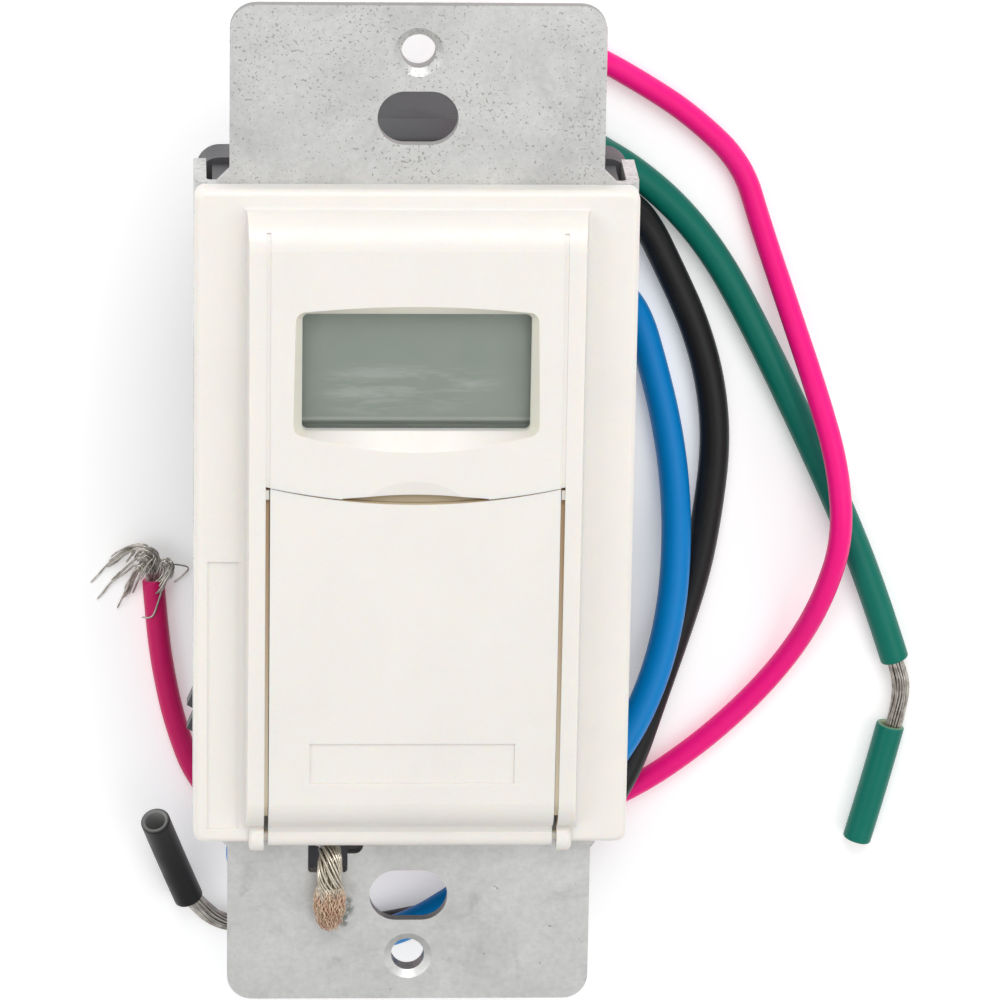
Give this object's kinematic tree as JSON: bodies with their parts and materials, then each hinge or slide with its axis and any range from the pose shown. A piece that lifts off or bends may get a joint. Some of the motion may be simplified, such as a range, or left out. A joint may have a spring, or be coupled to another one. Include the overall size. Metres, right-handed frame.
{
  "type": "solid state timer",
  "caption": "In-wall electronic timer for a single wall box: steel yoke, framed face with display, flip-down door over keys and battery, deep housing and stranded leads.",
  "frame": {"origin": "centre of the mounting pattern on the back face of the steel yoke", "axes": "+Z out of the face towards the user, +Y towards the display end of the device, +X to the right seen from the front; it lies on its back, so the table is 32 mm below the origin"},
  "size_m": [0.0873, 0.1134, 0.0397],
  "materials": {
    "plated_steel": "zinc plated, fine dark specks",
    "spring_steel": "bright plated",
    "ivory_plastic": "satin off-white",
    "grey_plastic": "matte dark grey",
    "black_plastic": "matte black",
    "clear_lens": "polished clear",
    "display_grey": "grey-green display",
    "pink_rubber": "soft conductive rubber",
    "battery_can": "satin",
    "board_green": "green solder mask",
    "yellow_plastic": "cast plastic case",
    "blue_coating": "dipped coating",
    "solder": "tinned",
    "tinned_copper": "fine stranded wire",
    "lead_black": "satin insulation",
    "lead_blue": "satin insulation",
    "lead_pink": "satin insulation",
    "lead_green": "satin insulation"
  },
  "bodies": {
    "case": {"mounting_yoke": "plated_steel", "front_bezel": "ivory_plastic", "display_lens": "clear_lens", "display_glass": "display_grey", "connector_strips": "pink_rubber", "tactile_switches": "black_plastic", "battery": "battery_can", "battery_tray": "ivory_plastic", "battery_bay": "black_plastic", "battery_contacts": "spring_steel", "rear_housing": "grey_plastic", "case_screws": "spring_steel", "board_screws": "spring_steel", "control_board": "board_green", "power_board": "board_green", "relay": "black_plastic", "film_capacitor": "yellow_plastic", "electrolytic_capacitors": "battery_can", "varistor": "blue_coating", "bridge_rectifier": "black_plastic", "board_header": "black_plastic", "microcontroller": "black_plastic", "crystal": "spring_steel", "lead_bushings": "black_plastic", "lead_tails": "lead_black", "solder_posts": "solder", "ground_terminal": "solder", "black_lead": "lead_black", "blue_lead": "lead_blue", "red_lead": "lead_pink", "green_lead": "lead_green", "black_lead_strands": "tinned_copper", "blue_lead_strands": "tinned_copper", "green_lead_strands": "tinned_copper", "red_lead_strands": "tinned_copper", "black_lead_sleeve": "lead_black", "green_lead_sleeve": "lead_green"},
    "door": {"door": "ivory_plastic"},
    "on_off_key": {"on_off_button": "ivory_plastic", "on_off_switch_plunger": "black_plastic"},
    "mode_key": {"mode_button": "ivory_plastic", "mode_switch_plunger": "black_plastic"},
    "minus_key": {"minus_button": "ivory_plastic", "minus_switch_plunger": "black_plastic"},
    "plus_key": {"plus_button": "ivory_plastic", "plus_switch_plunger": "black_plastic"},
    "reset_key": {"reset_button": "ivory_plastic", "reset_switch_plunger": "black_plastic"}
  },
  "joints": [
    {"name": "door_hinge", "type": "hinge", "parent": "case", "child": "door", "pos_m": [0, -0.03425, 0.003], "axis": [1, 0, 0], "range_deg": [0, 100]},
    {"name": "on_off_press", "type": "slide", "parent": "case", "child": "on_off_key", "axis": [0, 0, -1], "range_m": [0, 0.0005], "stiffness_N_per_m": 3000},
    {"name": "mode_press", "type": "slide", "parent": "case", "child": "mode_key", "axis": [0, 0, -1], "range_m": [0, 0.0005], "stiffness_N_per_m": 3000},
    {"name": "minus_press", "type": "slide", "parent": "case", "child": "minus_key", "axis": [0, 0, -1], "range_m": [0, 0.0005], "stiffness_N_per_m": 3000},
    {"name": "plus_press", "type": "slide", "parent": "case", "child": "plus_key", "axis": [0, 0, -1], "range_m": [0, 0.0005], "stiffness_N_per_m": 3000},
    {"name": "reset_press", "type": "slide", "parent": "case", "child": "reset_key", "axis": [0, 0, -1], "range_m": [0, 0.0005], "stiffness_N_per_m": 3000}
  ]
}
